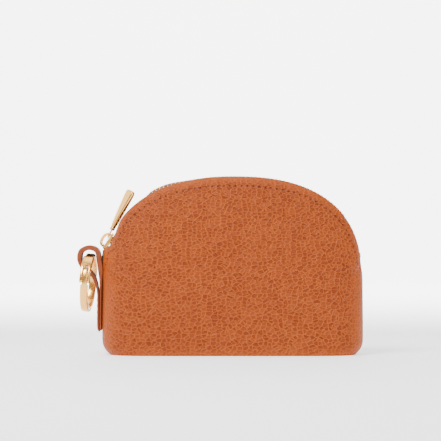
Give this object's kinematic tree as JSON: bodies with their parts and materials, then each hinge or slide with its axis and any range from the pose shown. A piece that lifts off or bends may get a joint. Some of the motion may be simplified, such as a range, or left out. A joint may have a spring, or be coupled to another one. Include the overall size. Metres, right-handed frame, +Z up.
{
  "type": "zippered pouch",
  "caption": "Domed leather pouch with a zip over its arch, a flat base, and a spring gate ring hanging from a side strap.",
  "frame": {"origin": "centre of the base's underside, on the surface it stands on", "axes": "+X to the right seen from the front, so the strap and ring are at -X; -Y is the front; +Z up"},
  "size_m": [0.1204, 0.03, 0.0763],
  "materials": {
    "leather": "pebbled, soft satin",
    "strap_leather": "smooth, soft satin",
    "lining_cloth": "woven, matt",
    "tape_cloth": "woven, matt",
    "thread": "twisted thread",
    "gold_metal": "polished, pale gold",
    "zip_metal": "polished, antique",
    "spring_steel": "polished"
  },
  "bodies": {
    "pouch": {"back_panel": "leather", "base_panel": "leather", "lining_back": "lining_cloth", "lining_floor": "lining_cloth", "zip_tape_back": "tape_cloth", "zip_teeth_back": "zip_metal", "back_stitching": "thread", "zip_top_stop_back": "zip_metal", "zip_bottom_stop": "zip_metal", "strap_tail": "strap_leather", "strap_loop": "strap_leather"},
    "front_half": {"front_panel": "leather", "lining_front": "lining_cloth", "zip_tape_front": "tape_cloth", "zip_teeth_front": "zip_metal", "front_stitching": "thread", "zip_top_stop_front": "zip_metal"},
    "slider": {"slider_body": "gold_metal"},
    "pull": {"pull_tab": "gold_metal"},
    "ring": {"ring_body": "gold_metal", "gate_pin": "spring_steel", "gate_spring": "spring_steel"},
    "gate": {"ring_gate": "gold_metal"}
  },
  "joints": [
    {"name": "slider_travel", "type": "hinge", "parent": "pouch", "child": "slider", "pos_m": [0, 0, 0.014], "axis": [0, 1, 0], "range_deg": [0, 114.38], "deforming": ["zip_tape_back", "zip_tape_front", "zip_teeth_back", "zip_teeth_front"]},
    {"name": "mouth_open", "type": "hinge", "parent": "pouch", "child": "front_half", "pos_m": [0, -0.013, 0.001], "axis": [1, 0, 0], "range_deg": [0, 18.02], "deforming": ["front_panel", "lining_front"]},
    {"name": "pull_swing", "type": "hinge", "parent": "slider", "child": "pull", "pos_m": [-0.05342, 0, 0.04999], "axis": [0, -1, 0], "range_deg": [0, 110]},
    {"name": "ring_swing", "type": "hinge", "parent": "pouch", "child": "ring", "pos_m": [-0.0606, 0, 0.0434], "axis": [0, 1, 0], "range_deg": [-3, 35], "deforming": ["strap_loop"]},
    {"name": "gate_open", "type": "hinge", "parent": "ring", "child": "gate", "pos_m": [-0.06276, -0.01142, 0.03246], "axis": [0.9907, -0.1045, -0.0867], "range_deg": [0, 32], "stiffness_Nm_per_rad": 0.002, "springref_deg": -17.19}
  ],
  "couplings": [
    {"joint": "mouth_open", "follows": "slider_travel", "ratio": 0.1574}
  ]
}
